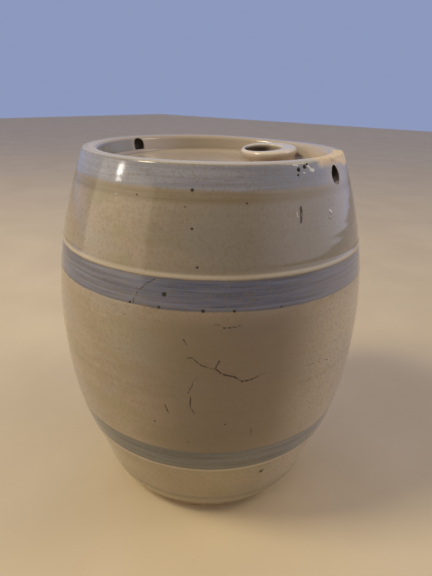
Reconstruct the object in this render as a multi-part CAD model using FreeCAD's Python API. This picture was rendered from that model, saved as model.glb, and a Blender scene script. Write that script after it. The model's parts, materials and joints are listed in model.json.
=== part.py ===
import FreeCAD, Part
import os

# Stoneware barrel keg for fermenting and storing about a gallon: a thrown barrel wall
# on a base slab, a recessed head with a bung collar luted beside its middle, and a
# standing rim pierced on both sides for a wire bail.  Three blue slip bands lie
# in shallow seats like painted hoops.
#
# Millimetres, +Z up.  The origin is the middle of the footprint, the bail holes are
# pierced along +X, and the bung collar stands on the +Y side.

# Barrel body
HEIGHT = 228.0
FOOT_RADIUS = 65.5
BELLY_RADIUS = 99.3
BELLY_HEIGHT = 131.0
RIM_RADIUS = 78.8
WALL = 9.0
FOOT_ROUND = 1.5

# Base slab: a disc with a bevelled edge, lifted off the table by the foot ring
BASE_RECESS = 2.0
BASE_TOP = 12.0
BASE_UNDER_RADIUS = 57.0
BASE_TOP_RADIUS = 63.0

# Head: a disc with a bevelled edge on a gallery inside the wall, caught under the rim
HEAD_UNDER = 209.6
HEAD_TOP = 217.2
HEAD_UNDER_RADIUS = 75.0
RECESS_RADIUS = 68.0
GALLERY_RADIUS = 70.0

# Standing rim, its seam with the wall, and the bail holes through it
RIM_SEAM = 214.0
RIM_INNER_TOP_RADIUS = 70.4
LIP_ROUND = 3.5
BAIL_HOLE_RADIUS = 3.8
BAIL_HOLE_HEIGHT = 221.2
BAIL_HOLE_OFFSET = 2.0       # the pair was pierced a little to the +Y side of the middle

# Bung collar: a short neck under a thicker lip, set on at a lean so that its lip is
# higher beside the rim; the hole is upright and sits off the collar's own middle
COLLAR_MIDDLE = (12.0, 45.2)
COLLAR_LEAN = 5.5            # degrees, tipping in towards the middle of the head
COLLAR_FOOT_RADIUS = 18.4
NECK_RADIUS = 18.0
NECK_HEIGHT = 220.4
LIP_RADIUS = 19.0
LIP_HEIGHT = 222.0
COLLAR_TOP = 225.1           # at the middle of the leaning lip
COLLAR_ROUND = 1.4
BUNG_HOLE_MIDDLE = (9.4, 43.1)
BUNG_HOLE_RADIUS = 12.5

# Slip bands: (name, lower edge, upper edge), all of one thickness
SLIP = 0.7
SLIP_BANDS = [
    ("lower_band", 53.6, 70.2),
    ("middle_band", 160.2, 175.5),
    ("upper_band", 215.0, 224.4),
]

# Outer outline as (radius, height): a quick flare above the foot, a full belly low of
# the shoulder, and a straighter run in to the rim
OUTLINE = [
    (FOOT_RADIUS, 0.0),
    (73.6, 9.0),
    (79.0, 24.0),
    (84.4, 40.0),
    (93.0, 66.0),
    (97.9, 98.0),
    (BELLY_RADIUS, BELLY_HEIGHT),
    (96.5, 164.0),
    (89.5, 196.0),
    (RIM_RADIUS, HEIGHT),
]

FAR = 2.0 * BELLY_RADIUS
ORIGIN = FreeCAD.Vector(0, 0, 0)
UP = FreeCAD.Vector(0, 0, 1)
ALONG_X = FreeCAD.Vector(1, 0, 0)


def spun(edges):
    """Solid of revolution about +Z from a closed loop of edges in the YZ plane.

    The surface's own seam then runs up the +Y side, clear of the bail holes.
    """
    return Part.Face(Part.Wire(edges)).revolve(ORIGIN, UP, 360)


def spun_polygon(outline):
    """Solid of revolution about +Z from straight (radius, height) corners."""
    corners = [FreeCAD.Vector(0, radius, height) for radius, height in outline]
    closed = Part.makePolygon(corners + corners[:1])
    return spun(closed.Edges)


def barrel(inset):
    """The whole barrel as one solid, its outline drawn in by a given thickness."""
    stations = [FreeCAD.Vector(0, radius - inset, height) for radius, height in OUTLINE]
    side = Part.BSplineCurve()
    side.interpolate(stations)
    foot = FreeCAD.Vector(0, 0, 0)
    crown = FreeCAD.Vector(0, 0, HEIGHT)
    edges = [
        Part.makeLine(foot, stations[0]),
        side.toShape(),
        Part.makeLine(stations[-1], crown),
        Part.makeLine(crown, foot),
    ]
    return spun(edges)


def slab(low, high):
    """Everything between two heights."""
    return Part.makeCylinder(FAR, high - low, FreeCAD.Vector(0, 0, low), UP)


def level_edges(shape, height):
    """The round edges of a shape that lie flat at one height."""
    def is_level(edge):
        box = edge.BoundBox
        return abs(box.ZMin - height) < 0.01 and abs(box.ZMax - height) < 0.01
    return [edge for edge in shape.Edges if is_level(edge)]


def lip_edges(collar):
    """The two ring edges of the collar's leaning top face."""
    def is_lip(edge):
        box = edge.BoundBox
        return box.XLength > BUNG_HOLE_RADIUS and box.ZMin > LIP_HEIGHT
    return [edge for edge in collar.Edges if is_lip(edge)]


def make_base_disc():
    return spun_polygon([
        (0, BASE_RECESS),
        (BASE_UNDER_RADIUS, BASE_RECESS),
        (BASE_TOP_RADIUS, BASE_TOP),
        (0, BASE_TOP),
    ])


def make_head_blank():
    return spun_polygon([
        (0, HEAD_UNDER),
        (HEAD_UNDER_RADIUS, HEAD_UNDER),
        (RECESS_RADIUS, HEAD_TOP),
        (0, HEAD_TOP),
    ])


def make_slip_band(low, high):
    return barrel(0).cut(barrel(SLIP)).common(slab(low, high))


def make_cavity():
    """Inside of the vessel, drawn in under the head to leave the gallery ledge."""
    gallery_drop = FAR - GALLERY_RADIUS
    limits = spun_polygon([
        (0, BASE_TOP),
        (FAR, BASE_TOP),
        (FAR, HEAD_UNDER - gallery_drop),
        (GALLERY_RADIUS, HEAD_UNDER),
        (0, HEAD_UNDER),
    ])
    return barrel(WALL).common(limits)


def make_barrel_wall(fitted_parts):
    wall = barrel(0).common(slab(0, RIM_SEAM)).cut(make_cavity())
    under_recess = Part.makeCylinder(BASE_UNDER_RADIUS, BASE_RECESS)
    wall = wall.cut(under_recess)
    for part in fitted_parts:
        wall = wall.cut(part)
    foot_edges = level_edges(wall, 0.0)
    return wall.makeFillet(FOOT_ROUND, foot_edges)


def make_bail_hole():
    start = FreeCAD.Vector(-FAR, BAIL_HOLE_OFFSET, BAIL_HOLE_HEIGHT)
    return Part.makeCylinder(BAIL_HOLE_RADIUS, 2 * FAR, start, ALONG_X)


def make_chime_rim(head_blank, upper_band):
    recess = spun_polygon([
        (0, HEAD_TOP),
        (RECESS_RADIUS, HEAD_TOP),
        (RIM_INNER_TOP_RADIUS, HEIGHT),
        (0, HEIGHT),
    ])
    rim = barrel(0).common(slab(RIM_SEAM, HEIGHT)).cut(recess).cut(head_blank)
    rim = rim.makeFillet(LIP_ROUND, level_edges(rim, HEIGHT))
    return rim.cut(upper_band).cut(make_bail_hole())


def make_bung_hole():
    x, y = BUNG_HOLE_MIDDLE
    start = FreeCAD.Vector(x, y, HEAD_UNDER - 1)
    return Part.makeCylinder(BUNG_HOLE_RADIUS, HEIGHT - HEAD_UNDER, start, UP)


def make_bung_collar():
    """The collar, tipped about the middle of its lip and trimmed flush with the head."""
    collar = spun_polygon([
        (0, HEAD_UNDER),
        (COLLAR_FOOT_RADIUS, HEAD_UNDER),
        (NECK_RADIUS, NECK_HEIGHT),
        (LIP_RADIUS, LIP_HEIGHT),
        (LIP_RADIUS, COLLAR_TOP),
        (0, COLLAR_TOP),
    ])
    collar.rotate(FreeCAD.Vector(0, 0, COLLAR_TOP), ALONG_X, COLLAR_LEAN)
    x, y = COLLAR_MIDDLE
    collar.translate(FreeCAD.Vector(x, y, 0))
    collar = collar.common(slab(HEAD_TOP, HEIGHT)).cut(make_bung_hole())
    return collar.makeFillet(COLLAR_ROUND, lip_edges(collar))


def make_keg():
    """Every piece of the keg by name."""
    bands = {name: make_slip_band(low, high) for name, low, high in SLIP_BANDS}
    base_disc = make_base_disc()
    head_blank = make_head_blank()
    fitted_in_wall = [base_disc, head_blank, bands["lower_band"], bands["middle_band"]]
    keg = {
        "barrel_wall": make_barrel_wall(fitted_in_wall),
        "base_disc": base_disc,
        "head_disc": head_blank.cut(make_bung_hole()),
        "bung_collar": make_bung_collar(),
        "chime_rim": make_chime_rim(head_blank, bands["upper_band"]),
    }
    bands["upper_band"] = bands["upper_band"].cut(make_bail_hole())
    keg.update(bands)
    return keg


os.makedirs("parts", exist_ok=True)
for name, shape in make_keg().items():
    shape.exportStep(f"parts/{name}.step")
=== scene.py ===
import json
import math
import bmesh
import bpy
import numpy as np
from mathutils import Matrix, Vector


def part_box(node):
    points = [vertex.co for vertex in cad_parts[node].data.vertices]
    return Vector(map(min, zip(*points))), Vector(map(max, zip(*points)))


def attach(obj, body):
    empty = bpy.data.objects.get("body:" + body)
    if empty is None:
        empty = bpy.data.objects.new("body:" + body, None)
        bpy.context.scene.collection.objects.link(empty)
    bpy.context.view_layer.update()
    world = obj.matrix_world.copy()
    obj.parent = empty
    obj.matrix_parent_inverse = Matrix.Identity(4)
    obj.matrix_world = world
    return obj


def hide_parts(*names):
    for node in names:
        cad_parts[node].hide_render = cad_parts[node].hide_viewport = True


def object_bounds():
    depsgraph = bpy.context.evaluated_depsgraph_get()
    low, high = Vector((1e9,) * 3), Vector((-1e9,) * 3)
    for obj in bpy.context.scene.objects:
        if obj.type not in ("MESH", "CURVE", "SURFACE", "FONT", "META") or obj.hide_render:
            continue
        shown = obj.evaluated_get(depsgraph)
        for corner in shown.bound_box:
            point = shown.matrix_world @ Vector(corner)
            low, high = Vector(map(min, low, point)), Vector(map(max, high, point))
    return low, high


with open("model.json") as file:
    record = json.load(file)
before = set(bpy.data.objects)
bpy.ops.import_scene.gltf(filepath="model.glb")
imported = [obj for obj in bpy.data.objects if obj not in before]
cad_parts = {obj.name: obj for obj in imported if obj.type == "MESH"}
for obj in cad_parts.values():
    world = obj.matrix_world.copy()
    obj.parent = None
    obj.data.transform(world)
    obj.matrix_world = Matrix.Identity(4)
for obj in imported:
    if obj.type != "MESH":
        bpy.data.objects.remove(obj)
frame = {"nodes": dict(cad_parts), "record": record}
cad_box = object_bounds()

# A stoneware barrel keg.  Everything is in metres in the frame's own axes: +Z up,
# +X through the bail holes, the bung collar on the +Y side.  Sizes come from the
# CAD nodes' boxes, the record's mounts and the outline read off the CAD meshes.

MM = 0.001
BODY = "root"
WALL_COLUMNS = 288
HEAD_COLUMNS = 240
COLLAR_COLUMNS = 180
BASE_COLUMNS = 144
RIM_COARSE_STEP = 1.0  # degrees between the rim's columns
RIM_FINE_STEP = 0.3  # degrees, where the lip is worn and pitted
RIM_FINE_SPAN = (-28.0, 38.0)
ROW_STEP = 0.8 * MM
RIM_ROW_STEP = 0.45 * MM
LIP_OUTER_ROUND = 2.2 * MM
LIP_INNER_ROUND = 3.5 * MM
FOOT_ROUND = 1.5 * MM
BASE_BEVEL = 6 * MM  # how much wider the base slab is on top than underneath
GALLERY_WIDTH = 5 * MM  # the ledge under the head, and its slope back to the wall
GALLERY_DROP = 9.3 * MM
SLIP_CLEARANCE = 0.02 * MM
SHARP_ANGLE = math.radians(40)

# Relief of the thrown surface, in millimetres.  Its middle lies this far inside the CAD.
SKIN_INSET = 0.27
THROWING_RINGS = [(0.020, 7.3, 0.0), (0.012, 4.9, 1.3)]  # (height, pitch, phase)

# The bung collar, with its neck as (inset from the lip, drop below the lip) in millimetres
COLLAR_LEAN = 5.5  # degrees that it tips in towards the head's middle
COLLAR_NECK = [(0.3, 11.0), (0.3, 8.0), (0.7, 6.8), (0.8, 5.6), (0.5, 4.5), (0.1, 3.7)]
COLLAR_LIP_IN = 2.2  # millimetres that the lip's outer edge rounds in, and down
COLLAR_LIP_DOWN = 3.0
COLLAR_INNER_ROUND = 1.0 * MM

# A bail hole, from the inner mouth to the outer: (the end it is measured from, millimetres
# past that end, millimetres added to the hole's radius).
BAIL_SLOPE = 6.0  # degrees down towards the outside
BAIL_PROFILE = [
    ("inner", -4.0, 2.6),
    ("inner", 0.2, 1.5),
    ("inner", 1.4, 0.8),
    ("inner", 3.5, 0.3),
    ("middle", 0.0, 0.0),
    ("outer", -1.6, -0.2),
    ("outer", -0.8, 0.0),
    ("outer", -0.2, 0.45),
    ("outer", 4.0, 3.0),
]

# The worn rim.  The lip is bare over the right-hand bail hole and squarer around it.
WORN_MIDDLE = (11.0, 227.5)  # degrees about +Z, millimetres above the foot
WORN_REACH = (27.0, 5.2)  # millimetres round the rim and up or down it
SQUARER_LIP = (0.6, 14.0, 24.0)  # (share, middle, reach in degrees)
LOW_SPOTS = [(1.1, 85.0, 34.0), (0.25, -100.0, 22.0)]  # (millimetres, middle, reach)
RIM_PIT_DEPTH = 0.7 * MM
LIP_RADIUS = 78 * MM  # about the lip's outer edge
LIP_INSIDE = 72 * MM  # the wear fades out at the lip's inner side
RIM_OUTSIDE = 75.1 * MM  # where the glaze of the rim's outer side starts

# Marks in the glaze, as (degrees about +Z from +X, millimetres above the foot).
# Each crack or scratch starts with half its width in millimetres, each pit or blister
# with its size.
CRACKS = [
    (0.38, [(-58, 135), (-56.5, 135.5), (-55, 133), (-54, 131.5), (-51.5, 130), (-49, 129)]),
    (0.65, [(-49, 129), (-48, 127), (-46.5, 125.5), (-44, 124.5), (-41.5, 121.5)]),
    (0.65, [(-41.5, 121.5), (-40, 121.5), (-38.5, 122)]),
    (0.34, [(-38.5, 122), (-36.5, 123.5), (-34.5, 125)]),
    (0.60, [(-48.5, 134), (-49, 132), (-49.5, 130)]),
    (0.38, [(-55, 123.5), (-56, 121.5), (-56.5, 118), (-57.5, 114)]),
    (0.48, [(-57, 111.5), (-57, 108.5), (-57, 104.5)]),
    (0.30, [(-57, 104.5), (-55.5, 100.5)]),
    (0.45, [(-65, 104.5), (-64.5, 101.5), (-64, 99)]),
    (0.50, [(-59, 145), (-58, 143)]),
    (0.34, [(-50, 153.5), (-48.5, 153.5)]),
    (0.50, [(-47.5, 152), (-45.5, 152)]),
    (0.42, [(-45, 152.5), (-44, 152)]),
    (0.24, [(-43.5, 152.5), (-42.5, 153)]),
    (0.36, [(-19.5, 123), (-16, 122.5), (-11, 121), (-8.5, 120)]),
    (0.28, [(-18.5, 111), (-17, 112), (-16.5, 113.5)]),
    (0.36, [(-68, 174.5), (-70.5, 171.5), (-73, 168)]),
    (0.28, [(-73, 168), (-74.5, 164), (-75, 161)]),
    (0.42, [(-37, 87), (-37, 82.5)]),
    (1.0, [(-21, 207), (-21.5, 200.5)]),
    (0.22, [(-10, 212), (-4, 204.5)]),
    (0.45, [(-59, 227), (-56, 227)]),
    (0.30, [(-75, 226.5), (-70, 227)]),
]
# White scratches and glaze chips; the one at -7 degrees is a painted glint on a blister, and those
# by the rim's pits are chips with painted highlight.
SCRATCHES_AND_GLINTS = [
    (0.25, [(-23, 206), (-22.5, 201.5)]),
    (0.35, [(-1.5, 113), (4, 114.5)]),
    (0.60, [(-7, 203.5), (-6, 202)]),
    (0.50, [(-22, 226.5), (-20, 226)]),
    (0.50, [(-18, 223), (-17, 222.5)]),
    (0.80, [(-15, 225.5), (-14.5, 225)]),
    (1.20, [(-14, 224), (-13, 223.5)]),
]
PITS = [
    (1.8, -65, 167.5),
    (2.4, -28, 42),
    (1.3, -58, 216),
    (1.0, -57.5, 199),
    (0.8, -40.5, 210.5),
    (0.9, -55.5, 181.5),
    (0.7, -77, 212),
    (0.6, -60, 208.5),
    (0.8, -69, 91),
    (0.7, -58, 79),
    (0.7, -46, 93),
    (1.1, -76, 160.7),
    (1.2, -66.5, 160.7),
    (1.4, -53.5, 160.6),
    (1.2, -44.5, 160.6),
    (0.8, -30, 160.7),
]
RIM_PITS = [
    (1.6, -20, 224.3),
    (1.5, -17, 225.4),
    (0.9, -20.5, 222),
    (0.8, -15.5, 226.5),
]
BLISTERS = [
    (2.2, -6.5, 202.5),
    (1.8, -7.5, 200),
]
PIT_SPREAD = 0.85  # half the width of a mark, as a share of its size
BLISTER_SPREAD = 0.8


# ---- reading the frame

def span(node, axis):
    """A node's lowest and highest coordinate along one axis."""
    low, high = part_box(node)
    return low[axis], high[axis]


def hole(name):
    """A mount's position and the radius of its hole."""
    for entry in frame["record"]["mounts"]:
        if entry["name"] == name:
            return np.array(entry["pos_m"]), entry["dims"]["r_mm"] * MM
    raise KeyError(name)


def cad_edges(nodes):
    """End points of every mesh edge of some CAD nodes, as an array (edges, 2, 3)."""
    pieces = []
    for node in nodes:
        mesh = frame["nodes"][node].data
        points = np.empty(len(mesh.vertices) * 3)
        mesh.vertices.foreach_get("co", points)
        ends = np.empty(len(mesh.edges) * 2, dtype=np.int32)
        mesh.edges.foreach_get("vertices", ends)
        pieces.append(points.reshape(-1, 3)[ends.reshape(-1, 2)])
    return np.concatenate(pieces)


def plan_radius(points):
    """Distance of points from the +Z axis."""
    return np.hypot(points[..., 0], points[..., 1])


def radii_at(edges, height):
    """Smallest and largest distance from the axis at which mesh edges cross a height."""
    below = edges[:, 0, 2] <= height
    crossing = edges[below != (edges[:, 1, 2] <= height)]
    share = (height - crossing[:, 0, 2]) / (crossing[:, 1, 2] - crossing[:, 0, 2])
    points = crossing[:, 0] + share[:, None] * (crossing[:, 1] - crossing[:, 0])
    reach = plan_radius(points)
    return reach.min(), reach.max()


def rim_inner_radius(height):
    return radii_at(cad_edges(["chime_rim"]), height)[0]


FOOT, CROWN = cad_box[0][2], cad_box[1][2]
SEAM = span("chime_rim", 2)[0]
BASE_UNDER, BASE_TOP = span("base_disc", 2)
HEAD_UNDER, HEAD_TOP = span("head_disc", 2)
COLLAR_TOP = span("bung_collar", 2)[1]
RECESS_RADIUS = rim_inner_radius(HEAD_TOP + 0.3 * MM)
BANDS = {name: span(name, 2) for name in ("lower_band", "middle_band", "upper_band")}
LOWER, MIDDLE, UPPER = BANDS.values()

SKIN_EDGES = cad_edges(["barrel_wall", "chime_rim", *BANDS])
SAMPLES = np.linspace(FOOT + 4 * MM, CROWN - 3.5 * MM, 60)
SKIN_RADII = [radii_at(SKIN_EDGES, z)[1] for z in SAMPLES]
OUTLINE = np.polynomial.Polynomial.fit(SAMPLES, SKIN_RADII, 11)
WALL = float(np.diff(radii_at(cad_edges(["barrel_wall"]), 0.5 * (FOOT + CROWN)))[0])
SLIP = float(np.diff(radii_at(cad_edges(["middle_band"]), 0.5 * sum(MIDDLE)))[0])
CROWN_EDGE = float(OUTLINE(CROWN - LIP_OUTER_ROUND)) - LIP_OUTER_ROUND - 0.6 * MM


# ---- hand-thrown relief

# Turned beads and grooves: (level in metres, then reach and height in millimetres)
BEADS = [
    (MIDDLE[1] + 1.5 * MM, 1.2, 0.32),
    (MIDDLE[1] + 4.2 * MM, 1.2, -0.12),
    (MIDDLE[0] - 1.3 * MM, 1.1, 0.12),
    (LOWER[0] - 1.3 * MM, 1.2, 0.18),
    (UPPER[0] - 2.0 * MM, 2.4, -0.07),
    (112.8 * MM, 1.6, -0.06),
    (7.0 * MM, 1.4, -0.16),
]


def bump_line(height, middle, width):
    return np.exp(-((height - middle) / width) ** 2)


def relief(azimuth, height):
    """How far the thrown surface stands in or out of the turned outline, mostly inside it."""
    spiral = azimuth / (2 * math.pi)
    rings = 0.0
    for rise, pitch, phase in THROWING_RINGS:
        rings = rings + rise * np.sin(2 * math.pi * (height / (pitch * MM) + spiral) + phase)
    rings = rings * np.clip((212 * MM - height) / (8 * MM), 0.25, 1)
    out_of_round = 0.10 * np.sin(2 * azimuth + 0.7 + 9 * height)
    out_of_round += 0.06 * np.sin(3 * azimuth + 2.1 - 13 * height)
    beads = sum(rise * bump_line(height, level, reach * MM) for level, reach, rise in BEADS)
    return (rings + out_of_round + beads - SKIN_INSET) * MM


def skin(height, inset=0.0):
    """Section points down the outside between heights, as (radius, height, relief share)."""
    return [(float(OUTLINE(z)) - inset, float(z), 1.0) for z in height]


def rows(low, high, step=ROW_STEP):
    return np.linspace(low, high, max(2, round((high - low) / step) + 1))


def arc(middle, radius, start, end, steps):
    """Points of an arc in the section plane, with angles in degrees from outwards to up."""
    turns = np.radians(np.linspace(start, end, steps))
    return [(middle[0] + radius * math.cos(t), middle[1] + radius * math.sin(t)) for t in turns]


# ---- mesh building

def add_object(name, data):
    thing = bpy.data.objects.new(name, data)
    bpy.context.scene.collection.objects.link(thing)
    return thing


def finish_mesh(name, points, faces):
    mesh = bpy.data.meshes.new(name)
    mesh.from_pydata(points, [], faces)
    tidy = bmesh.new()
    tidy.from_mesh(mesh)
    bmesh.ops.recalc_face_normals(tidy, faces=tidy.faces)
    tidy.to_mesh(mesh)
    tidy.free()
    mesh.shade_smooth()
    mesh.set_sharp_from_angle(angle=SHARP_ANGLE)
    return add_object(name, mesh)


def ring_grid(name, points):
    """A closed tube-like mesh from an array of points (around, along the section, xyz)."""
    columns, stations = points.shape[:2]
    faces = []
    for i in range(columns):
        here, there = i * stations, (i + 1) % columns * stations
        for j in range(stations):
            k = (j + 1) % stations
            faces.append((here + j, there + j, there + k, here + k))
    return finish_mesh(name, points.reshape(-1, 3).tolist(), faces)


def capped_grid(name, points, low_pole, high_pole):
    """A closed mesh from a grid of points whose first and last rings close on two poles."""
    columns, stations = points.shape[:2]
    corners = points.reshape(-1, 3).tolist() + [low_pole, high_pole]
    low, high = len(corners) - 2, len(corners) - 1
    faces = []
    for i in range(columns):
        here, there = i * stations, (i + 1) % columns * stations
        faces.append((low, there, here))
        faces.append((high, here + stations - 1, there + stations - 1))
        for j in range(stations - 1):
            faces.append((here + j, there + j, there + j + 1, here + j + 1))
    return finish_mesh(name, corners, faces)


def turned(section, azimuth):
    """Points of a section carried round the axis, each moved out by its share of relief."""
    radius, height, share = np.array(section).T
    azimuth = np.asarray(azimuth)[:, None]
    reach = radius + share * relief(azimuth, height)
    level = np.broadcast_to(height, reach.shape)
    return np.stack([reach * np.cos(azimuth), reach * np.sin(azimuth), level], axis=-1)


def full_turn(columns):
    return np.linspace(0, 2 * math.pi, columns, endpoint=False)


def rim_turn():
    """The rim's column angles: coarse all round and fine over its chipped stretch."""
    start, end = RIM_FINE_SPAN
    fine = np.arange(start, end, RIM_FINE_STEP)
    coarse = np.arange(end, start + 360, RIM_COARSE_STEP)
    return np.radians(np.concatenate([fine, coarse]))


# ---- pieces

def make_wall():
    foot_radius = float(OUTLINE(FOOT + FOOT_ROUND))
    base_radius = span("base_disc", 0)[1]
    head_radius = span("head_disc", 0)[1]
    section = [(base_radius - BASE_BEVEL, FOOT, 0.0)]
    corner = (foot_radius - FOOT_ROUND, FOOT + FOOT_ROUND)
    section += [(r, z, 0.5) for r, z in arc(corner, FOOT_ROUND, -90, -20, 8)]
    section += skin(rows(FOOT + 2.2 * MM, LOWER[0]))
    section += skin(rows(*LOWER), SLIP)
    section += skin(rows(LOWER[1], MIDDLE[0]))
    section += skin(rows(*MIDDLE), SLIP)
    section += skin(rows(MIDDLE[1], SEAM))
    seam_share = (SEAM - HEAD_UNDER) / (HEAD_TOP - HEAD_UNDER)
    section.append((head_radius + seam_share * (RECESS_RADIUS - head_radius), SEAM, 0.0))
    section.append((head_radius, HEAD_UNDER, 0.0))
    section.append((head_radius - GALLERY_WIDTH, HEAD_UNDER, 0.0))
    inside = np.linspace(HEAD_UNDER - GALLERY_DROP, BASE_TOP, 30)
    section += [(float(OUTLINE(z)) - WALL, float(z), 0.0) for z in inside]
    section.append((base_radius, BASE_TOP, 0.0))
    section.append((base_radius - BASE_BEVEL, BASE_UNDER, 0.0))
    return ring_grid("barrel_wall_ware", turned(section, full_turn(WALL_COLUMNS)))


def band_points(name, azimuth, step):
    """Points of a slip band's ring: outer skin up, inner face down."""
    low, high = BANDS[name]
    outside = skin(rows(low, high, step))
    inside = skin(rows(low, high, step)[::-1], SLIP - SLIP_CLEARANCE)
    return turned(outside + inside, azimuth)


def make_wall_band(name):
    return ring_grid(name + "_ware", band_points(name, full_turn(WALL_COLUMNS), ROW_STEP))


def make_base():
    """The base slab, with the wire's cut left as shallow curved ridges underneath."""
    reach = span("base_disc", 0)[1]
    under_reach = reach - BASE_BEVEL
    pole_gap = 1.5 * MM
    hollow = 0.15 * MM
    under = np.linspace(pole_gap, under_reach, 48)
    section = [(r, BASE_UNDER) for r in under] + [(reach, BASE_TOP)]
    section += [(r, BASE_TOP) for r in np.linspace(reach - 2 * MM, pole_gap, 24)]
    radius, height = np.array(section).T
    turn = full_turn(BASE_COLUMNS)[:, None]
    x = radius * np.cos(turn)
    y = radius * np.sin(turn)
    wire = 0.12 * MM * np.sin((x + 0.6 * np.hypot(x - 0.09, y)) / (1.1 * MM))
    edge_fade = np.clip((under_reach - radius) / (4 * MM), 0, 1)
    is_under = (height < BASE_UNDER + 1e-6) * edge_fade
    z = height + is_under * (wire + hollow)
    points = np.stack([x, y, z], axis=-1)
    return capped_grid("base_slab", points, [0, 0, BASE_UNDER + hollow], [0, 0, BASE_TOP])


def fillet(distance, radius):
    """Height of a concave fillet against a wall, at a distance out from that wall."""
    inward = np.clip(radius - distance, 0, radius)
    return radius - np.sqrt(radius ** 2 - inward ** 2)


def collar_plan():
    """The bung collar's middle, as seen from above, and the radius of its lip."""
    low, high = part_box("bung_collar")
    middle = 0.5 * (np.array(low[:2]) + np.array(high[:2]))
    return middle, 0.5 * (high[0] - low[0])


def spokes(columns):
    """Angles round the axis and the unit vectors that point along them, seen from above."""
    azimuth = full_turn(columns)[:, None]
    return azimuth, np.stack([np.cos(azimuth), np.sin(azimuth)], axis=-1)


def make_head():
    """The recessed head: a slab with an eccentric hole, filleted to the rim and collar."""
    hole_place, hole_radius = hole("bung_hole")
    collar_middle, lip_radius = collar_plan()
    recess_radius = RECESS_RADIUS + 0.1 * MM
    under_radius = span("head_disc", 0)[1]
    top_share = 1 - (1 - np.linspace(0, 1, 90)) ** 1.6
    across = np.concatenate([top_share, top_share[::-3]])
    top_side = np.arange(len(across)) < len(top_share)
    outward = spokes(HEAD_COLUMNS)[1]
    outer_radius = np.where(top_side, recess_radius, under_radius)
    near = hole_place[:2] + hole_radius * outward
    far = outer_radius[None, :, None] * outward
    plan = near + across[None, :, None] * (far - near)
    radius = plan_radius(plan)
    turn = np.arctan2(plan[..., 1], plan[..., 0])
    rings = 0.04 * MM * np.sin(2 * math.pi * radius / (6.1 * MM) + turn)
    rings += 0.02 * MM * np.sin(2 * math.pi * radius / (3.7 * MM) + turn + 1.0)
    sag = -0.25 * MM * (1 - (radius / recess_radius) ** 2)
    top = HEAD_TOP + rings + sag + fillet(recess_radius - radius, 2.4 * MM)
    from_collar = plan_radius(plan - collar_middle) - (lip_radius - 0.75 * MM)
    top = top + np.where(from_collar > 0, fillet(from_collar, 1.2 * MM), 0)
    height = np.where(top_side, top, HEAD_UNDER)
    return ring_grid("head_slab", np.concatenate([plan, height[..., None]], axis=-1))


def collar_section(lip_radius, lip_level, hole_radius):
    """The collar's section before it leans, as (radius, height, 1 on the hole's side)."""
    section = [(lip_radius - inset * MM, lip_level - drop * MM, 0.0) for inset, drop in COLLAR_NECK]
    for t in np.radians(np.linspace(0, 90, 12)):
        inset = COLLAR_LIP_IN * (1 - math.cos(t)) * MM
        drop = COLLAR_LIP_DOWN * (1 - math.sin(t)) * MM
        section.append((lip_radius - inset, lip_level - drop, 0.0))
    inner_level = lip_level - COLLAR_INNER_ROUND
    inner_corner = (hole_radius + COLLAR_INNER_ROUND, inner_level)
    section += [(r, z, 1.0) for r, z in arc(inner_corner, COLLAR_INNER_ROUND, 90, 180, 8)]
    down = np.linspace(inner_level - 0.6 * MM, HEAD_TOP - 0.5 * MM, 8)
    section += [(hole_radius, z, 1.0) for z in down]
    return section


def make_collar():
    """The bung collar: a short neck and a thick lip at a lean, around an upright hole."""
    middle, lip_radius = collar_plan()
    hole_place, hole_radius = hole("bung_hole")
    lean = math.radians(COLLAR_LEAN)
    lip_level = COLLAR_TOP - lip_radius * math.sin(lean)
    radius, height, inner = np.array(collar_section(lip_radius, lip_level, hole_radius)).T
    azimuth, outward = spokes(COLLAR_COLUMNS)
    uneven = 1 - 0.003 * (1 - np.sin(2 * azimuth + 0.9)) + 0.001 * np.sin(5 * azimuth)
    reach = np.where(inner > 0, radius, radius * np.minimum(uneven, 1.0))
    centre = middle + inner[:, None] * (hole_place[:2] - middle)
    plan = centre[None] + reach[..., None] * outward
    share = np.where(inner > 0, np.clip((height - HEAD_TOP) / (3 * MM), 0, 1), 1.0)
    wave = 0.15 * MM * (np.sin(2 * azimuth + 2.2) - 1)
    level = height + share * ((plan[..., 1] - middle[1]) * math.tan(lean) + wave)
    return ring_grid("bung_collar_ware", np.concatenate([plan, level[..., None]], axis=-1))


def rim_section():
    """The standing rim's section: skin, rounded lip, leaning inner wall and hidden foot."""
    inner_low = rim_inner_radius(HEAD_TOP + 0.1 * MM)
    inner_high = rim_inner_radius(CROWN - 5 * MM)
    inner_lean = (inner_high - inner_low) / (CROWN - 5.1 * MM - HEAD_TOP)
    inner_slope = math.atan(inner_lean)
    outer_level = CROWN - LIP_OUTER_ROUND
    inner_level = CROWN - LIP_INNER_ROUND
    outer_slope = math.atan(-float(OUTLINE.deriv()(outer_level)))
    outer_middle = float(OUTLINE(outer_level)) - LIP_OUTER_ROUND / math.cos(outer_slope)
    inner_middle = inner_low + inner_lean * (inner_level - HEAD_TOP)
    inner_middle += LIP_INNER_ROUND / math.cos(inner_slope)
    lip = arc((outer_middle, outer_level), LIP_OUTER_ROUND, math.degrees(outer_slope), 90, 14)
    inner_end = 180 - math.degrees(inner_slope)
    inner = arc((inner_middle, inner_level), LIP_INNER_ROUND, 90, inner_end, 14)
    section = skin(rows(SEAM, UPPER[0], RIM_ROW_STEP))
    section += skin(rows(*UPPER, RIM_ROW_STEP), SLIP)
    section += skin(rows(UPPER[1], lip[0][1], RIM_ROW_STEP))[:-1]
    section += [(r, z, 1.0) for r, z in lip]
    section += [(r, CROWN, 0.8) for r in np.linspace(outer_middle, inner_middle, 5)[1:-1]]
    section += [(r, z, 0.5) for r, z in inner]
    for z in rows(HEAD_TOP - 1 * MM, inner[-1][1])[-2::-1]:
        section.append((inner_low + inner_lean * (z - HEAD_TOP), float(z), 0.3))
    section.append((inner_low + 3.0 * MM, SEAM, 0.0))
    return section


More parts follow.
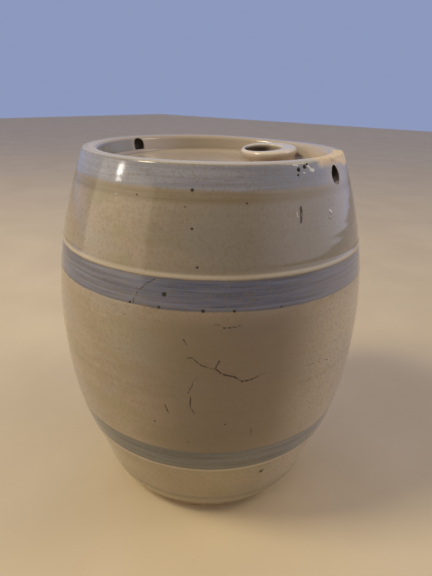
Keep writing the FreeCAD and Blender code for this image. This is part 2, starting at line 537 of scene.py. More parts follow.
def worn_share(azimuth, radius, height):
    """How worn the lip is: 1 at the bare stretch's middle and 0 off its ragged edge."""
    middle, level = WORN_MIDDLE
    ragged = 1 + 0.10 * np.sin(0.31 * azimuth + 1.0) + 0.06 * np.sin(0.9 * azimuth)
    along = np.radians(azimuth - middle) * radius / (WORN_REACH[0] * MM * ragged)
    down = (height - level * MM) / (WORN_REACH[1] * MM)
    return np.exp(-(along ** 4 + down ** 4)) * np.clip((radius - LIP_INSIDE) / (2 * MM), 0, 1)


def wear_rim(points):
    """Wears the lip at the right-hand bail hole, sinks its pits and dips the crown."""
    azimuth = np.degrees(np.arctan2(points[..., 1], points[..., 0]))
    height = points[..., 2]
    radius = plan_radius(points)
    scalloped = 0.14 + 0.07 * np.sin(0.55 * azimuth) + 0.04 * np.sin(1.7 * azimuth + 0.5)
    depth = scalloped * MM * worn_share(azimuth, radius, height)
    for size, at, pit_level in RIM_PITS:
        across = np.radians(azimuth - at) * radius
        distance = np.hypot(across, height - pit_level * MM) / (0.5 * size * MM)
        depth = depth + RIM_PIT_DEPTH * np.exp(-distance ** 4) * (radius > 76 * MM)
    rise = np.clip((height - HEAD_TOP) / (CROWN - HEAD_TOP), 0, 1) ** 2
    low_spots = sum(low * np.exp(-((azimuth - at) / reach) ** 2) for low, at, reach in LOW_SPOTS)
    drop = rise * low_spots * MM + 0.35 * depth
    most, middle, reach = SQUARER_LIP
    on_lip = (radius > CROWN_EDGE) * (height > CROWN - LIP_OUTER_ROUND)
    squarer = most * np.exp(-((azimuth - middle) / reach) ** 4) * on_lip
    stretch = squarer * (OUTLINE(height) - SKIN_INSET * MM - radius)
    shrink = (radius + stretch - depth) / radius
    return np.stack([points[..., 0] * shrink, points[..., 1] * shrink, height - drop], axis=-1)


def bail_cutter(sign):
    """A pierced hole's shape: wide at the inner mouth, sloping down outwards."""
    (x, y, z), radius = hole("bail_hole_right" if sign > 0 else "bail_hole_left")
    ends = {
        "inner": rim_inner_radius(z) - x * sign,
        "middle": 0.0,
        "outer": float(OUTLINE(z)) - x * sign,
    }
    profile = [(ends[end] + past * MM, radius + wider * MM) for end, past, wider in BAIL_PROFILE]
    along, reach = np.array(profile).T
    turn = full_turn(48)[:, None]
    ragged = 1 + 0.04 * np.sin(3 * turn + 0.8) * (along < -2 * MM)
    inner_mouth = np.clip(-along / (6 * MM), 0, 1)
    across = reach * ragged * np.cos(turn) * (1 - 0.16 * inner_mouth)
    rise = reach * ragged * np.sin(turn) * (1 + 0.10 * inner_mouth)
    grid = np.stack(np.broadcast_arrays(along * sign, across, rise), axis=-1)
    poles = [[along[0] * sign, 0, 0], [along[-1] * sign, 0, 0]]
    cutter = capped_grid("bail_cutter", grid, *poles)
    slope = Matrix.Rotation(math.radians(BAIL_SLOPE) * sign, 4, "Y")
    cutter.data.transform(Matrix.Translation(Vector((x, y, z))) @ slope)
    return cutter


def pierce(piece):
    """Cuts both bail holes through a piece and keeps the result as its own mesh."""
    for sign in (1, -1):
        cutter = bail_cutter(sign)
        cut = piece.modifiers.new("hole", "BOOLEAN")
        cut.operation = "DIFFERENCE"
        cut.solver = "EXACT"
        cut.object = cutter
        whole = piece.evaluated_get(bpy.context.evaluated_depsgraph_get())
        mesh = bpy.data.meshes.new_from_object(whole)
        piece.modifiers.remove(cut)
        piece.data = mesh
        bpy.data.objects.remove(cutter)
    piece.data.shade_smooth()
    piece.data.set_sharp_from_angle(angle=SHARP_ANGLE)
    return piece


def make_upper_band():
    points = wear_rim(band_points("upper_band", rim_turn(), RIM_ROW_STEP))
    return pierce(ring_grid("upper_band_ware", points))


def make_rim():
    points = wear_rim(turned(rim_section(), rim_turn()))
    return pierce(ring_grid("chime_rim_ware", points))


# ---- shader helpers

class Nodes:
    """Short calls that add shader nodes to one tree and join them up."""

    def __init__(self, tree):
        self.tree = tree

    def feed(self, socket, value):
        if isinstance(value, bpy.types.NodeSocket):
            self.tree.links.new(value, socket)
        else:
            socket.default_value = value

    def add(self, kind, inputs, **settings):
        node = self.tree.nodes.new(kind)
        for name, value in settings.items():
            setattr(node, name, value)
        for key, value in inputs.items():
            self.feed(node.inputs[key], value)
        return node

    def math(self, operation, first, second=0.0):
        return self.add("ShaderNodeMath", {0: first, 1: second}, operation=operation).outputs[0]

    def joined(self, operation, values):
        """Several values joined by one operation, from the first to the last."""
        total = values[0]
        for value in values[1:]:
            total = self.math(operation, total, value)
        return total

    def product(self, *values):
        return self.joined("MULTIPLY", values)

    def total(self, *values):
        return self.joined("ADD", values)

    def largest(self, *values):
        return self.joined("MAXIMUM", values)

    def vector(self, operation, first, second=(0, 0, 0)):
        node = self.add("ShaderNodeVectorMath", {0: first, 1: second}, operation=operation)
        is_number = operation in ("LENGTH", "DOT_PRODUCT", "DISTANCE")
        return node.outputs["Value" if is_number else "Vector"]

    def scaled(self, vector, factor):
        node = self.add("ShaderNodeVectorMath", {0: vector, "Scale": factor}, operation="SCALE")
        return node.outputs["Vector"]

    def step(self, value, low, high, start=0.0, end=1.0):
        """A smooth step from start to end as the value goes from low to high."""
        node = self.add("ShaderNodeMapRange", {0: value, 1: low, 2: high, 3: start, 4: end},
                        interpolation_type="SMOOTHSTEP")
        return node.outputs[0]

    def mix(self, factor, first, second):
        node = self.add("ShaderNodeMix", {0: factor, 6: first, 7: second}, data_type="RGBA")
        return node.outputs[2]

    def tinted(self, body, tint, *shares):
        """A colour moved towards a tint by the product of some shares."""
        return self.mix(self.product(*shares), body, tint)

    def noise(self, place, scale, detail=2.0, roughness=0.5):
        """Noise in cycles a metre, the same every way or stretched as (x, y, z)."""
        if isinstance(scale, tuple):
            place, scale = self.vector("MULTIPLY", place, scale), 1.0
        inputs = {"Vector": place, "Scale": scale, "Detail": detail, "Roughness": roughness}
        return self.add("ShaderNodeTexNoise", inputs).outputs[0]

    def specks(self, place, scale, share, size):
        """Round specks: one in some cells of a lattice, 1 at a speck and 0 between them."""
        inputs = {"Vector": place, "Scale": scale}
        cells = self.add("ShaderNodeTexVoronoi", inputs)
        chance = self.add("ShaderNodeSeparateColor", {0: cells.outputs["Color"]}).outputs[0]
        chosen = self.math("GREATER_THAN", chance, 1 - share)
        return self.product(chosen, self.step(cells.outputs["Distance"], size, 0.5 * size))


def colour(red, green, blue):
    return (red, green, blue, 1.0)


def on_skin(azimuth, height):
    """The point of the outer skin at an angle in degrees and a height in millimetres."""
    turn = math.radians(azimuth)
    reach = float(OUTLINE(height * MM)) - 0.4 * MM
    return Vector((reach * math.cos(turn), reach * math.sin(turn), height * MM))


def stroke_group():
    """A node group that is 1 on a straight stroke between two points and 0 off it."""
    group = bpy.data.node_groups.new("stroke", "ShaderNodeTree")
    sockets = group.interface
    for name in ("Place", "Start", "Run"):
        sockets.new_socket(name, in_out="INPUT", socket_type="NodeSocketVector")
    for name in ("Inverse", "Width"):
        sockets.new_socket(name, in_out="INPUT", socket_type="NodeSocketFloat")
    sockets.new_socket("Mark", in_out="OUTPUT", socket_type="NodeSocketFloat")
    nodes = Nodes(group)
    given = group.nodes.new("NodeGroupInput").outputs
    from_start = nodes.vector("SUBTRACT", given["Place"], given["Start"])
    along = nodes.product(nodes.vector("DOT_PRODUCT", from_start, given["Run"]), given["Inverse"])
    clamped = nodes.math("MINIMUM", nodes.largest(along, 0.0), 1.0)
    nearest = nodes.scaled(given["Run"], clamped)
    distance = nodes.vector("DISTANCE", from_start, nearest)
    core = nodes.product(given["Width"], 0.45)
    mark = nodes.step(distance, given["Width"], core)
    output = group.nodes.new("NodeGroupOutput")
    group.links.new(mark, output.inputs["Mark"])
    return group


def add_strokes(nodes, place, group, lines):
    """The strongest of many strokes, each drawn as (half width in mm, points on the skin)."""
    total = 0.0
    for width, points in lines:
        for start, end in zip(points, points[1:]):
            first = on_skin(*start)
            run = on_skin(*end) - first
            inputs = {
                "Place": place,
                "Start": first,
                "Run": run,
                "Inverse": 1.0 / run.length_squared,
                "Width": width * MM,
            }
            node = nodes.add("ShaderNodeGroup", inputs, node_tree=group)
            total = nodes.largest(total, node.outputs["Mark"])
    return total


def dots(spots, share):
    """Round spots as very short strokes, each this share of its listed size in half width."""
    return [(share * size, [(at, z), (at + 0.1, z)]) for size, at, z in spots]


# ---- the glaze

TAN = colour(0.355, 0.285, 0.21)
CREAM = colour(0.43, 0.36, 0.28)
OLIVE = colour(0.345, 0.30, 0.19)
PINKISH = colour(0.43, 0.34, 0.27)
GREY = colour(0.37, 0.33, 0.29)
# The next four tints are painted shade on the belly's front, olive glaze lightened with painted
# light at the foot, a painted greyish sheen on the shoulder and painted light on one side.
BELLY_SHADE = colour(0.19, 0.145, 0.105)
FOOT_OLIVE_AND_LIGHT = colour(0.38, 0.34, 0.19)
SHOULDER_SHEEN = colour(0.25, 0.235, 0.22)
SIDE_LIGHT = colour(0.56, 0.48, 0.40)
HEAD_CREAM = colour(0.66, 0.55, 0.45)
PALE = colour(0.72, 0.65, 0.54)
GROOVE_BROWN = colour(0.26, 0.21, 0.14)
EDGE_DARK = colour(0.13, 0.13, 0.12)
# painted shade on the collar's wall and painted light on its lip
COLLAR_WALL_SHADE = colour(0.30, 0.21, 0.13)
COLLAR_LIP_LIGHT = colour(0.82, 0.72, 0.60)
# painted shade in the bung hole
BORE_SHADE = colour(0.085, 0.06, 0.04)
# painted shade on the rim's inner wall
INNER_WALL_SHADE = colour(0.19, 0.185, 0.165)
RIGHT_SLIP = colour(0.17, 0.19, 0.25)
# painted light on the lower bands
PALE_SLIP_LIGHT = colour(0.42, 0.42, 0.46)
WORN_LIGHT = colour(0.78, 0.62, 0.42)
WORN_TAN = colour(0.68, 0.51, 0.32)
STAIN = colour(0.030, 0.020, 0.013)
# white of scratches and chips, and of painted glints
SCRATCH_AND_GLINT_WHITE = colour(0.88, 0.85, 0.80)
CLAY_DARK = colour(0.50, 0.37, 0.23)
CLAY_LIGHT = colour(0.62, 0.49, 0.33)
SAND_BROWN = colour(0.25, 0.17, 0.11)

# Each slip band's darker and lighter colour, and the softness of its edge in millimetres
SLIP_COLOURS = {
    "lower_band": (colour(0.105, 0.115, 0.125), colour(0.19, 0.21, 0.23), 1.0),
    "middle_band": (colour(0.10, 0.11, 0.175), colour(0.19, 0.215, 0.33), 0.7),
    "upper_band": (colour(0.275, 0.28, 0.35), colour(0.355, 0.37, 0.45), 1.2),
}

# Soft patches anywhere in the clear glaze: (which noise, tint, greatest share)
GLAZE_PATCHES = [
    (5, OLIVE, 0.75),
    (9, PINKISH, 0.65),
    (14, GREY, 0.6),
]

# Wide zones of the clear glaze, most of them painted light and shade: (from and to in millimetres,
# azimuth, reach and softness in degrees, share, tint)
GLAZE_ZONES = [
    # painted shade on the belly's front
    (54.0, 158.0, -42.0, 22.0, 18.0, 0.70, BELLY_SHADE),
    # olive glaze at the foot, lightened with painted light from the floor
    (-9.0, 54.0, -58.0, 40.0, 20.0, 0.35, FOOT_OLIVE_AND_LIGHT),
    # painted greyish sheen on the shoulder
    (174.0, 216.0, -26.0, 36.0, 24.0, 0.60, SHOULDER_SHEEN),
    # painted light on the side facing the right-hand fill
    (20.0, 160.0, 4.0, 18.0, 18.0, 0.50, SIDE_LIGHT),
]

# Lines round the keg: (level in metres, reach in millimetres, share, tint)
RING_LINES = [
    (MIDDLE[1] + 1.5 * MM, 1.5, 0.6, PALE),
    (MIDDLE[1] + 3.6 * MM, 0.9, 0.35, GROOVE_BROWN),
    (MIDDLE[1] - 0.3 * MM, 0.6, 0.55, EDGE_DARK),
    (MIDDLE[0] + 0.3 * MM, 0.6, 0.60, EDGE_DARK),
    (LOWER[1] - 0.4 * MM, 0.9, 0.45, EDGE_DARK),
    (LOWER[1] - 5.0 * MM, 1.2, 0.30, EDGE_DARK),
    (LOWER[0] + 0.5 * MM, 0.9, 0.40, EDGE_DARK),
    (LOWER[0] - 1.6 * MM, 1.5, 0.55, PALE),
    (112.8 * MM, 2.4, 0.22, GROOVE_BROWN),
    (UPPER[0] - 2.2 * MM, 4.2, 0.9, GROOVE_BROWN),
    (17.0 * MM, 3.0, 0.40, EDGE_DARK),
    # painted shade along the foot's bottom edge
    (2.6 * MM, 4.0, 0.85, EDGE_DARK),
]

# Directions on the keg: (azimuth, reach, softness in degrees), for near_azimuth
BAND_THIN = (16.0, 18.0, 8.0)  # the upper band's slip is almost rubbed off
BAND_BLUER = (-18.0, 14.0, 10.0)
# painted light on one side of the two lower bands
BAND_LIT = (8.0, 22.0, 18.0)  # the two lower bands
WALL_SHADED = (-142.0, 36.0, 5.0)  # painted shade on the rim's inner wall
# painted shade on the head's far side
HEAD_SHADED = (155.0, 35.0, 30.0)
# the lip's painted light is strongest towards this side
LIP_LIT_SIDE = (-55.0, 80.0, 40.0)
BORE_LIT_SIDE = (0.79, 0.61, 0)  # from the bung hole's middle to its lit side, where there is less painted shade

# The glaze's noises, in cycles a metre
STREAKS = (14, 14, 420)
BRUSH_MARKS = (20, 20, 620)
RIDGES = (6, 6, 1000)
PATCHES = (22, 22, 46)
WANDER = 90.0
MOTTLE = 240.0
WOBBLE = 320.0
BREAKS = 420.0
PEPPER = 650.0
GRAIN = 1100.0


def place_sockets(nodes):
    """The place on the keg: point, point seen from above, height, radius and heading."""
    place = nodes.add("ShaderNodeTexCoord", {}).outputs["Object"]
    level = nodes.add("ShaderNodeSeparateXYZ", {0: place}).outputs["Z"]
    flat = nodes.vector("MULTIPLY", place, (1, 1, 0))
    radius = nodes.vector("LENGTH", flat)
    heading = nodes.vector("NORMALIZE", flat)
    return place, flat, level, radius, heading


def patches(nodes, place, seed):
    """Soft patches a few centimetres across, wider than they are high."""
    stretched = nodes.vector("MULTIPLY", place, PATCHES)
    return nodes.noise(nodes.vector("ADD", stretched, (seed, 0, 0)), 1.0, 2.0)


def near_azimuth(nodes, heading, azimuth, reach, soft):
    """1 within some degrees of a direction about the axis and 0 beyond."""
    turn = math.radians(azimuth)
    agreement = nodes.vector("DOT_PRODUCT", heading, (math.cos(turn), math.sin(turn), 0))
    far, near = math.cos(math.radians(reach + soft)), math.cos(math.radians(reach - soft))
    return nodes.step(agreement, far, near)


def band_mask(nodes, level, low, high, soft):
    """1 between two heights and 0 beyond, with soft edges."""
    rise = nodes.step(level, low - soft, low + soft)
    fall = nodes.step(level, high + soft, high - soft)
    return nodes.product(rise, fall)


def line_mask(nodes, level, middle, width):
    """1 at a height and 0 further away than a width."""
    away = nodes.math("ABSOLUTE", nodes.math("SUBTRACT", level, middle))
    return nodes.step(away, width, 0.2 * width)


def plain_glaze(nodes, place, level, heading, streaks, mottle):
    """The clear glaze over buff stoneware: tan to cream, with olive, pink and grey patches, and
    wide zones of painted shade, sheen and light.
    """
    clouds = nodes.product(patches(nodes, place, 0), 0.9)
    tone = nodes.total(clouds, nodes.product(streaks, 0.6), nodes.product(mottle, 0.7))
    body = nodes.mix(nodes.step(tone, 0.85, 1.35), TAN, CREAM)
    for seed, tint, most in GLAZE_PATCHES:
        share = nodes.step(patches(nodes, place, seed), 0.46, 0.62, 0.0, most)
        body = nodes.mix(share, body, tint)
    for low, high, azimuth, reach, soft, most, tint in GLAZE_ZONES:
        between = band_mask(nodes, level, low * MM, high * MM, 8 * MM)
        nearby = near_azimuth(nodes, heading, azimuth, reach, soft)
        body = nodes.tinted(body, tint, between, nearby, most)
    return body


def upper_cover(nodes, level, heading, soft):
    """Where the upper band's slip lies, up over the lip's outer edge."""
    covered = band_mask(nodes, level, UPPER[0] + 1.0 * MM, CROWN - 0.9 * MM, soft)
    thin = nodes.product(near_azimuth(nodes, heading, *BAND_THIN), 0.9)
    return nodes.product(covered, nodes.math("SUBTRACT", 1.0, thin))


def add_slip(nodes, body, place, level, heading, outside, streaks):
    """The three brushed slip bands, each fading over its own soft edge."""
    opacity = nodes.step(streaks, 0.2, 0.5, 0.75, 0.96)
    brushed = nodes.noise(place, BRUSH_MARKS, 4.0, 0.65)
    stroke = nodes.step(brushed, 0.32, 0.68)
    for name, (dark, light, soft) in SLIP_COLOURS.items():
        slip = nodes.mix(stroke, dark, light)
        if name == "upper_band":
            covered = upper_cover(nodes, level, heading, soft * MM)
            slip = nodes.tinted(slip, RIGHT_SLIP, near_azimuth(nodes, heading, *BAND_BLUER), 0.5)
        else:
            covered = band_mask(nodes, level, *BANDS[name], soft * MM)
            # the two lower bands get painted light on one side
            slip = nodes.tinted(slip, PALE_SLIP_LIGHT, near_azimuth(nodes, heading, *BAND_LIT), 0.35)
        body = nodes.tinted(body, slip, covered, outside, opacity)
    return body


def add_ring_lines(nodes, body, level, outside, streaks):
    """The glaze pooled or thinned along the turned beads and the slip's edges, with painted shade
    along the foot's bottom edge.
    """
    uneven = nodes.step(streaks, 0.30, 0.60, 0.45, 1.0)
    for middle, width, strength, tint in RING_LINES:
        line = line_mask(nodes, level, middle, width * MM)
        body = nodes.tinted(body, tint, line, uneven, strength, outside)
    return body


def add_head(nodes, body, level, heading, head):
    """The head's paler glaze, and painted shade on one stretch of the rim's inner wall."""
    body = nodes.tinted(body, HEAD_CREAM, head, 0.65)
    on_wall = nodes.step(level, HEAD_TOP + 1.2 * MM, HEAD_TOP + 2.6 * MM)
    below_lip = nodes.step(level, CROWN - 0.8 * MM, CROWN - 2.2 * MM)
    wall_shade_share = near_azimuth(nodes, heading, *WALL_SHADED)
    return nodes.tinted(body, INNER_WALL_SHADE, head, on_wall, wall_shade_share, below_lip, 0.85)


def add_collar(nodes, body, place, flat, level, head):
    """The bung collar's wall darkened by painted shade and its lip lightened by painted light, by
    height in the leaning collar.
    """
    middle, radius = collar_plan()
    middle = (*middle, 0)
    collar = nodes.step(nodes.vector("DISTANCE", flat, middle), radius + 2 * MM, radius)
    slope = math.tan(math.radians(COLLAR_LEAN))
    from_middle = nodes.vector("SUBTRACT", place, middle)
    tipped = nodes.vector("DOT_PRODUCT", from_middle, (0, -slope, 1))
    lip_level = COLLAR_TOP - radius * slope
    wall = nodes.step(tipped, lip_level - 1.2 * MM, lip_level - 3.2 * MM)
    # painted shade on the collar's wall
    body = nodes.tinted(body, COLLAR_WALL_SHADE, head, collar, wall, 0.4)
    lip = nodes.step(tipped, lip_level - 2.0 * MM, lip_level - 0.9 * MM)
    # painted light on the collar's lip
    body = nodes.tinted(body, COLLAR_LIP_LIGHT, head, collar, lip, 0.9)
    # more painted light on the collar's highest part
    high_lip = nodes.step(level, COLLAR_TOP - 2.4 * MM, COLLAR_TOP - 1.4 * MM)
    return nodes.tinted(body, PALE, collar, high_lip, 0.8)


def add_bore(nodes, body, flat, level):
    """The bung hole's inside darkened by painted shade, deeper down and less on its lit side."""
    middle, radius = hole("bung_hole")
    middle = (*middle[:2], 0)
    from_middle = nodes.vector("DISTANCE", flat, middle)
    within = nodes.step(from_middle, radius + 1.2 * MM, radius + 0.2 * MM)
    # painted shade, deeper in the hole and less on its lit side
    deep = nodes.step(level, COLLAR_TOP - 1.2 * MM, COLLAR_TOP - 4.5 * MM)
    across = nodes.vector("DOT_PRODUCT", nodes.vector("SUBTRACT", flat, middle), BORE_LIT_SIDE)
    shade_share = nodes.step(across, 2 * MM, 8 * MM, 0.95, 0.15)
    return nodes.tinted(body, BORE_SHADE, within, deep, shade_share)


def add_inside(nodes, body, place, flat, level, heading, outside):
    """The recessed head, the rim's inner wall, the bung collar and its hole."""
    inside = nodes.math("SUBTRACT", 1.0, outside)
    head = nodes.product(inside, nodes.step(level, HEAD_UNDER, HEAD_TOP - 1 * MM))
    body = add_head(nodes, body, level, heading, head)
    body = add_collar(nodes, body, place, flat, level, head)
    body = add_bore(nodes, body, flat, level)
    # Painted shade over the head's far side.
    far_shade = near_azimuth(nodes, heading, *HEAD_SHADED)
    return nodes.tinted(body, GROOVE_BROWN, head, far_shade, 0.28)


def bail_grime(nodes, place, level, radius):
    """Dirt in the two pierced holes, from one mouth to the other."""
    (_, sideways, height), hole_radius = hole("bail_hole_right")
    across = nodes.vector("MULTIPLY", place, (0, 1, 1))
    from_middle = nodes.vector("DISTANCE", across, (0, sideways, height))
    near = nodes.step(from_middle, hole_radius + 2.4 * MM, hole_radius + 1.7 * MM)
    inner_radius = rim_inner_radius(height)
    outer_radius = float(OUTLINE(height))
    lean = float(OUTLINE.deriv()(height))
    above = nodes.product(nodes.math("SUBTRACT", level, height), -lean)
    upright = nodes.total(radius, above)
    inner = nodes.step(radius, inner_radius + 0.5 * MM, inner_radius + 1.1 * MM)
    outer = nodes.step(upright, outer_radius - 0.45 * MM, outer_radius - 0.9 * MM)
    return nodes.product(near, inner, outer)


def worn_lip(nodes, level, radius, heading, wander):
    """Where the glaze has worn off the lip over the right-hand bail hole."""
    middle = WORN_MIDDLE[0]
    reach = math.degrees(WORN_REACH[0] * MM / LIP_RADIUS)
    along = near_azimuth(nodes, heading, middle, reach, 2.0)
    lowered = near_azimuth(nodes, heading, middle + 9.0, 8.0, 5.0)
    edge = nodes.total(level, nodes.product(wander, 2.5 * MM), nodes.product(lowered, 2.6 * MM))
    high = nodes.step(edge, 223.2 * MM, 226.6 * MM)
    outer = nodes.step(radius, LIP_INSIDE - 0.5 * MM, LIP_INSIDE + 1.0 * MM)
    return nodes.product(along, high, outer)


def glaze_marks(nodes, place):
    """The dark marks, the scratches with their painted glints, and the blisters: 1 on a mark and 0
    off it.
    """
    wobble = nodes.add("ShaderNodeTexNoise", {"Vector": place, "Scale": WOBBLE, "Detail": 2.0})
    middled = nodes.vector("SUBTRACT", wobble.outputs["Color"], (0.5, 0.5, 0.5))
    bent = nodes.vector("ADD", place, nodes.scaled(middled, 1.3 * MM))
    stroke = stroke_group()
    broken = nodes.step(nodes.noise(place, BREAKS, 2.0), 0.34, 0.50, 0.35, 1.0)
    cracks = nodes.product(add_strokes(nodes, bent, stroke, CRACKS), broken, 0.9)
    pits = add_strokes(nodes, place, stroke, dots(PITS + RIM_PITS, PIT_SPREAD))
    large = nodes.specks(place, 95.0, 0.07, 0.05)
    small = nodes.specks(place, 260.0, 0.02, 0.09)
    specks = nodes.product(nodes.largest(large, small), 0.8)
    scratches_and_glints = add_strokes(nodes, bent, stroke, SCRATCHES_AND_GLINTS)
    blisters = add_strokes(nodes, place, stroke, dots(BLISTERS, BLISTER_SPREAD))
    return nodes.largest(cracks, pits, specks), scratches_and_glints, blisters


def glaze_group():
    """Colour, roughness and fine relief in millimetres of the glazed ware, by place on the keg."""
    group = bpy.data.node_groups.new("keg_glaze", "ShaderNodeTree")
    nodes = Nodes(group)
    place, flat, level, radius, heading = place_sockets(nodes)
    streaks = nodes.noise(place, STREAKS, 4.0, 0.6)
    mottle = nodes.noise(place, MOTTLE, 3.0, 0.6)
    grain = nodes.noise(place, GRAIN, 2.0, 0.6)
    wander = nodes.math("SUBTRACT", nodes.noise(place, WANDER, 3.0), 0.5)
    edge_level = nodes.total(level, nodes.product(wander, 1.8 * MM))
    beyond_rim = nodes.step(radius, RIM_OUTSIDE - 0.5 * MM, RIM_OUTSIDE + 0.5 * MM)
    outside = nodes.largest(beyond_rim, nodes.step(level, HEAD_UNDER, HEAD_UNDER - 2 * MM))

    body = plain_glaze(nodes, place, level, heading, streaks, mottle)
    body = add_slip(nodes, body, place, edge_level, heading, outside, streaks)
    pepper = nodes.step(nodes.noise(place, PEPPER, 2.0, 0.7), 0.52, 0.34, 0.0, 0.42)
    body = nodes.mix(pepper, body, GROOVE_BROWN)
    body = add_ring_lines(nodes, body, level, outside, streaks)
    body = add_inside(nodes, body, place, flat, level, heading, outside)
    # The lip is paler: thin glaze at the edge plus painted highlight, strongest on the lit front.
    lip = nodes.step(level, CROWN - 0.9 * MM, CROWN - 0.3 * MM)
    body = nodes.tinted(body, PALE, lip, 0.6, near_azimuth(nodes, heading, *LIP_LIT_SIDE))

    worn = worn_lip(nodes, level, radius, heading, wander)
    bare = nodes.largest(worn, nodes.step(edge_level, 2.2 * MM, 1.2 * MM))
    bare_clay = nodes.mix(nodes.step(mottle, 0.30, 0.60), WORN_TAN, WORN_LIGHT)
    body = nodes.mix(bare, body, bare_clay)
    marks, scratches_and_glints, blisters = glaze_marks(nodes, place)
    grime = bail_grime(nodes, place, level, radius)
    # White scratches and chips, with painted glints on a blister and by the rim's pits.
    body = nodes.tinted(body, SCRATCH_AND_GLINT_WHITE, scratches_and_glints, 0.75)
    body = nodes.mix(nodes.largest(marks, nodes.product(grime, 0.93)), body, STAIN)

    gloss = nodes.step(mottle, 0.3, 0.7, 0.08, 0.13)
    dull = nodes.product(nodes.largest(bare, marks, grime), 0.55)
    rough = nodes.total(gloss, dull, nodes.product(lip, 0.2))

    ridges = nodes.noise(place, RIDGES)
    ridges = nodes.product(ridges, nodes.step(level, 200 * MM, 214 * MM, 0.5, 2.2))
    layers = [(ridges, 0.020), (streaks, 0.014), (mottle, 0.014), (grain, 0.003)]
    layers += [(marks, -0.12), (blisters, 0.16)]
    height = nodes.total(*[nodes.product(layer, depth) for layer, depth in layers])

    output = group.nodes.new("NodeGroupOutput")
    for name, kind, value in (
        ("Color", "NodeSocketColor", body),
        ("Roughness", "NodeSocketFloat", rough),
        ("Height", "NodeSocketFloat", height),
    ):
        group.interface.new_socket(name, in_out="OUTPUT", socket_type=kind)
        group.links.new(value, output.inputs[name])
    return group


def new_material(name):
    """A material, the calls that add its nodes, and its shader."""
    material = bpy.data.materials.new(name)
    material.use_nodes = True
    tree = material.node_tree
    return material, Nodes(tree), tree.nodes["Principled BSDF"]


def glaze_material(name, group):
    material, nodes, shader = new_material(name)
    glaze = nodes.add("ShaderNodeGroup", {}, node_tree=group)
    bump = nodes.add("ShaderNodeBump", {"Height": glaze.outputs["Height"], "Distance": 1.0 * MM})
    nodes.feed(shader.inputs["Base Color"], glaze.outputs["Color"])
    nodes.feed(shader.inputs["Roughness"], glaze.outputs["Roughness"])
    nodes.feed(shader.inputs["Normal"], bump.outputs["Normal"])
    shader.inputs["IOR"].default_value = 1.52
    return material


def clay_material():
    """Unglazed stoneware: matte buff clay with sand grains."""
    material, nodes, shader = new_material("bare_clay")
    place = nodes.add("ShaderNodeTexCoord", {}).outputs["Object"]
    clouds = nodes.noise(place, 40.0, 4.0)
    grain = nodes.noise(place, 900.0, 3.0, 0.7)
    clay = nodes.mix(nodes.step(clouds, 0.3, 0.7), CLAY_DARK, CLAY_LIGHT)
    sand = nodes.specks(place, 500.0, 0.25, 0.3)
    clay = nodes.tinted(clay, SAND_BROWN, sand, 0.6)
    nodes.feed(shader.inputs["Base Color"], clay)
    nodes.feed(shader.inputs["Roughness"], nodes.step(grain, 0.3, 0.7, 0.75, 0.95))
    height = nodes.math("SUBTRACT", grain, sand)
    bump = nodes.add("ShaderNodeBump", {"Height": height, "Distance": 0.15 * MM})
    nodes.feed(shader.inputs["Normal"], bump.outputs["Normal"])
    return material


# ---- assembling

def build_keg():
    group = glaze_group()
    materials = {
        "cream_glaze": glaze_material("cream_glaze", group),
        "blue_slip": glaze_material("blue_slip", group),
        "bare_clay": clay_material(),
    }
    pieces = [
        (make_wall(), "barrel_wall", "cream_glaze"),
        (make_base(), "base_disc", "bare_clay"),
        (make_head(), "head_disc", "cream_glaze"),
        (make_collar(), "bung_collar", "cream_glaze"),
        (make_rim(), "chime_rim", "cream_glaze"),
        (make_wall_band("lower_band"), "lower_band", "blue_slip"),
        (make_wall_band("middle_band"), "middle_band", "blue_slip"),
        (make_upper_band(), "upper_band", "blue_slip"),
    ]
    for piece, node, slot in pieces:
        piece.data.materials.clear()
        piece.data.materials.append(materials[slot])
        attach(piece, BODY)
        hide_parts(node)


# ---- floor, light, camera

CAMERA_PLACE = Vector((0.1856, -0.2333, 0.2583))
CAMERA_HEADING = 38.5  # degrees the view is turned about +Z from looking along +Y
CAMERA_YAW = 0.75  # degrees the lens points right of the keg's axis
CAMERA_PITCH = 22.96
CAMERA_ROLL = -1.454
LENS = 28.9
SENSOR = 36.0

FLOOR_DARK = colour(0.72, 0.58, 0.39)
FLOOR_LIGHT = colour(0.77, 0.63, 0.43)

# Area lights: (name, azimuth, elevation, size in metres, watts, tint, height aimed at)
LIGHT_DISTANCE = 1.5
LIGHTS = [
    ("window", -132.0, 23.5, (0.11, 0.14), 1.3, (1.0, 0.95, 0.85), 0.12),
    ("left_wall", -126.0, 0.0, (1.6, 0.9), 4.6, (1.0, 0.84, 0.64), 0.45),
    ("high_left", -126.0, 51.0, (0.38, 0.38), 10.0, (1.0, 0.91, 0.66), 0.12),
    ("high_right", 36.0, 41.0, (0.5, 0.5), 3.2, (1.0, 0.85, 0.55), 0.12),
]

# The sky's colours, and its lobes as (direction, the cosines between which it comes in).
# The right-hand lobe is added to the rest.
SKY_SIDE = colour(0.31, 0.25, 0.19)
SKY_WALL = colour(0.266, 0.319, 0.515)
SKY_FRONT = colour(0.045, 0.042, 0.045)
SKY_RIGHT = (0.88, 0.88, 1.02)
BACK_LOBE = ((-0.64, 0.77, 0.0), -0.3, 0.6)
FRONT_LOBE = ((0.62, -0.78, 0.0), 0.2, 0.9)
RIGHT_LOBE = ((0.82, 0.57, 0.0), 0.45, 1.0)


def make_floor():
    bpy.ops.mesh.primitive_plane_add(size=8.0, location=(0, 0, FOOT))
    floor = bpy.context.object
    floor.name = "floor"
    material, nodes, shader = new_material("floor_paper")
    place = nodes.add("ShaderNodeTexCoord", {}).outputs["Object"]
    tone = nodes.step(nodes.noise(place, 9.0, 4.0), 0.3, 0.7)
    nodes.feed(shader.inputs["Base Color"], nodes.mix(tone, FLOOR_DARK, FLOOR_LIGHT))
    shader.inputs["Roughness"].default_value = 0.55
    floor.data.materials.append(material)


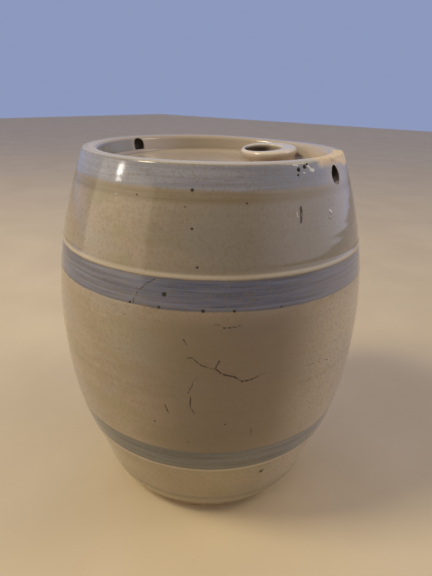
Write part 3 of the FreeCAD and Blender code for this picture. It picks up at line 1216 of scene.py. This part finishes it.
def add_softbox(name, azimuth, elevation, size, power, tint, aimed_at):
    """An area light seen from the keg at an angle in degrees about +Z from +X."""
    turn, rise = math.radians(azimuth), math.radians(elevation)
    flat = math.cos(rise)
    direction = Vector((math.cos(turn) * flat, math.sin(turn) * flat, math.sin(rise)))
    data = bpy.data.lights.new(name, "AREA")
    data.shape = "RECTANGLE"
    data.size, data.size_y = size
    data.energy = power
    data.color = tint
    light = add_object(name, data)
    place = Vector((0, 0, aimed_at)) + direction * LIGHT_DISTANCE
    turned_back = (-direction).to_track_quat("-Z", "Y").to_matrix().to_4x4()
    light.matrix_world = Matrix.Translation(place) @ turned_back


def lobe(nodes, place, direction, low, high):
    """1 towards a direction of the sky and 0 away from it."""
    return nodes.step(nodes.vector("DOT_PRODUCT", place, direction), low, high)


def make_world():
    """Warm light from the sides and above, a lilac wall behind and a dim room in front."""
    world = bpy.data.worlds.new("studio")
    world.use_nodes = True
    bpy.context.scene.world = world
    nodes = Nodes(world.node_tree)
    background = world.node_tree.nodes["Background"]
    place = nodes.add("ShaderNodeTexCoord", {}).outputs["Generated"]
    sky = nodes.mix(lobe(nodes, place, *BACK_LOBE), SKY_SIDE, SKY_WALL)
    sky = nodes.mix(lobe(nodes, place, *FRONT_LOBE), sky, SKY_FRONT)
    glow = nodes.scaled(SKY_RIGHT, lobe(nodes, place, *RIGHT_LOBE))
    nodes.feed(background.inputs["Color"], nodes.vector("ADD", sky, glow))
    background.inputs["Strength"].default_value = 1.0


def make_camera():
    """The photo's camera, turned by its heading, then its pitch, then its roll."""
    turn = Matrix.Rotation(math.radians(CAMERA_HEADING - CAMERA_YAW), 4, "Z")
    turn = turn @ Matrix.Rotation(math.radians(90.0 - CAMERA_PITCH), 4, "X")
    turn = turn @ Matrix.Rotation(math.radians(-CAMERA_ROLL), 4, "Z")
    data = bpy.data.cameras.new("camera")
    data.lens = LENS
    data.sensor_width = SENSOR
    data.clip_start = 0.01
    camera = add_object("camera", data)
    camera.matrix_world = Matrix.Translation(CAMERA_PLACE) @ turn
    bpy.context.scene.camera = camera


build_keg()
make_floor()
for light in LIGHTS:
    add_softbox(*light)
make_world()
make_camera()
bpy.context.scene.view_settings.view_transform = "Standard"
